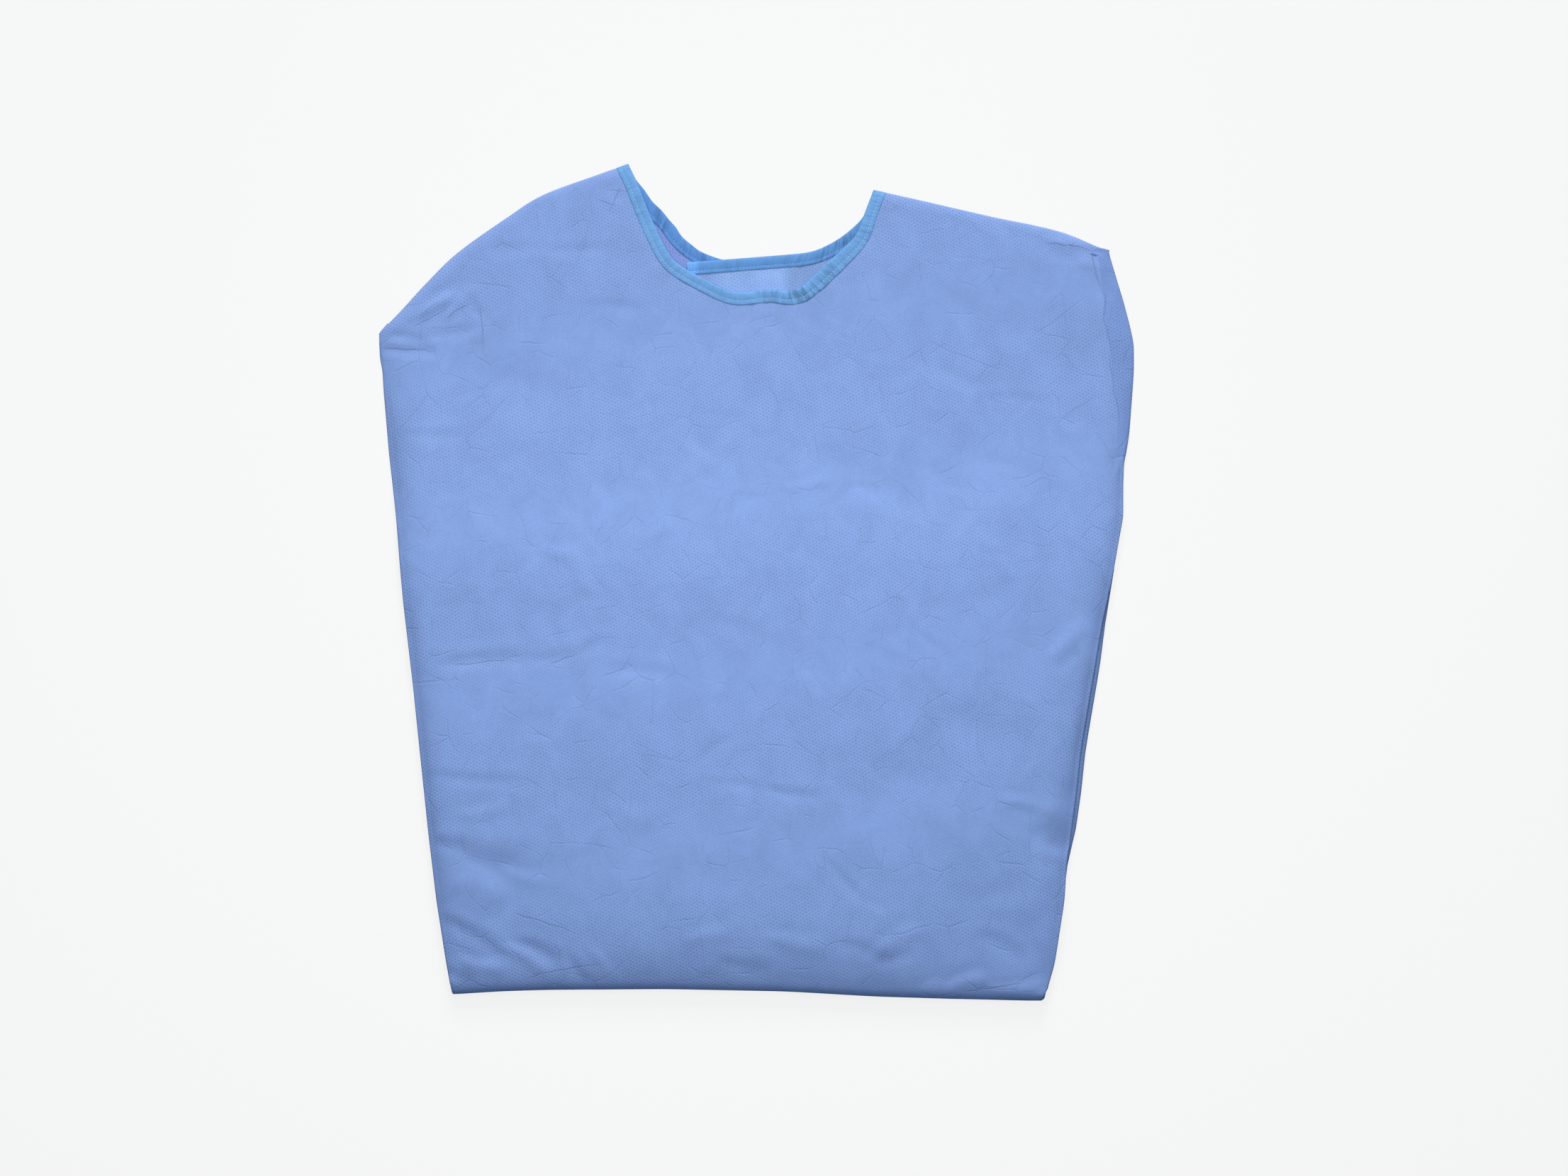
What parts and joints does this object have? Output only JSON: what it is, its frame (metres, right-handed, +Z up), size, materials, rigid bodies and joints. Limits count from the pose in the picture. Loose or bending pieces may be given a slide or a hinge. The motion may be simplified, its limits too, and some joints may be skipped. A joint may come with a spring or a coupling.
{
  "type": "folded surgical gown",
  "caption": "Disposable surgical gown of embossed nonwoven, folded front up with its sleeves, sides and skirt turned behind, and a bound round neck.",
  "frame": {"origin": "centre of the outline seen from above, on the surface that the gown lies on", "axes": "+X to the right of the front as seen from above, +Y towards the neck, +Z up out of the surface"},
  "size_m": [0.6838, 0.756, 0.0224],
  "materials": {
    "gown_cloth": "matte embossed spunbond nonwoven",
    "back_cloth": "matte embossed spunbond nonwoven, inside face",
    "neck_binding": "matte smooth nonwoven strip"
  },
  "bodies": {
    "root": {"front_panel": "gown_cloth", "left_sleeve": "gown_cloth", "right_sleeve": "gown_cloth", "back_left_panel": "back_cloth", "back_right_panel": "back_cloth", "front_neck_binding": "neck_binding", "back_left_neck_binding": "neck_binding", "back_right_neck_binding": "neck_binding", "folded_layers": "gown_cloth"}
  },
  "joints": []
}
